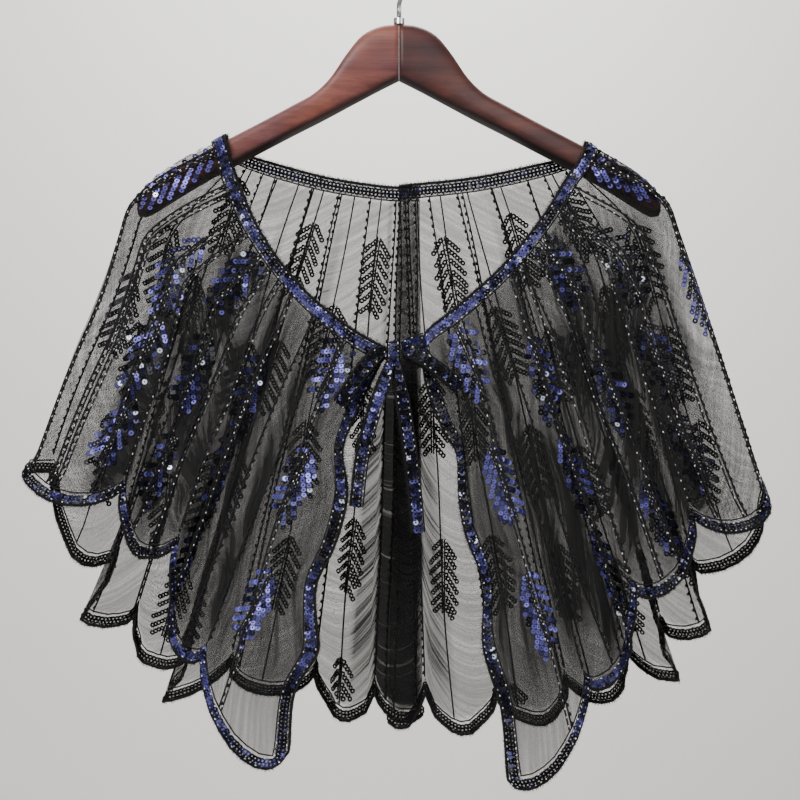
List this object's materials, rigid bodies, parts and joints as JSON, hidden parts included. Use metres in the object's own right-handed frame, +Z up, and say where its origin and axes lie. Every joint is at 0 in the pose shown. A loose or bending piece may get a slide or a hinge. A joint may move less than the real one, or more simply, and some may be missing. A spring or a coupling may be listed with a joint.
{
  "type": "sequin capelet on a wooden hanger",
  "caption": "Short open-fronted shoulder cape of black net with sequin leaves, beaded lines and a scalloped sequin edge, tied with a bow and hung on a shaped wooden hanger.",
  "frame": {"origin": "inner top of the hanger's hook, where it rests on a rail", "axes": "+Z up, the cape's front faces -Y, +X to the right of someone who looks at its front"},
  "size_m": [0.5667, 0.0955, 0.6307],
  "materials": {
    "net": "fine black net, see-through in one layer",
    "sequin_tape": "tape of glossy dark blue sequins between rows of pale seed beads",
    "wood": "reddish brown wood with satin varnish",
    "steel": "polished steel wire"
  },
  "bodies": {
    "root": {"cape_left": "net", "cape_right": "net", "neck_trim_left": "sequin_tape", "neck_trim_right": "sequin_tape", "edge_trim_left": "sequin_tape", "edge_trim_right": "sequin_tape", "bow_knot": "sequin_tape", "bow_loop_left": "sequin_tape", "bow_loop_right": "sequin_tape", "tie_tail_left": "sequin_tape", "tie_tail_right": "sequin_tape", "tie_strap_right": "sequin_tape", "hanger_wood": "wood", "hook_wire": "steel", "hook_ferrule": "steel"}
  },
  "joints": []
}
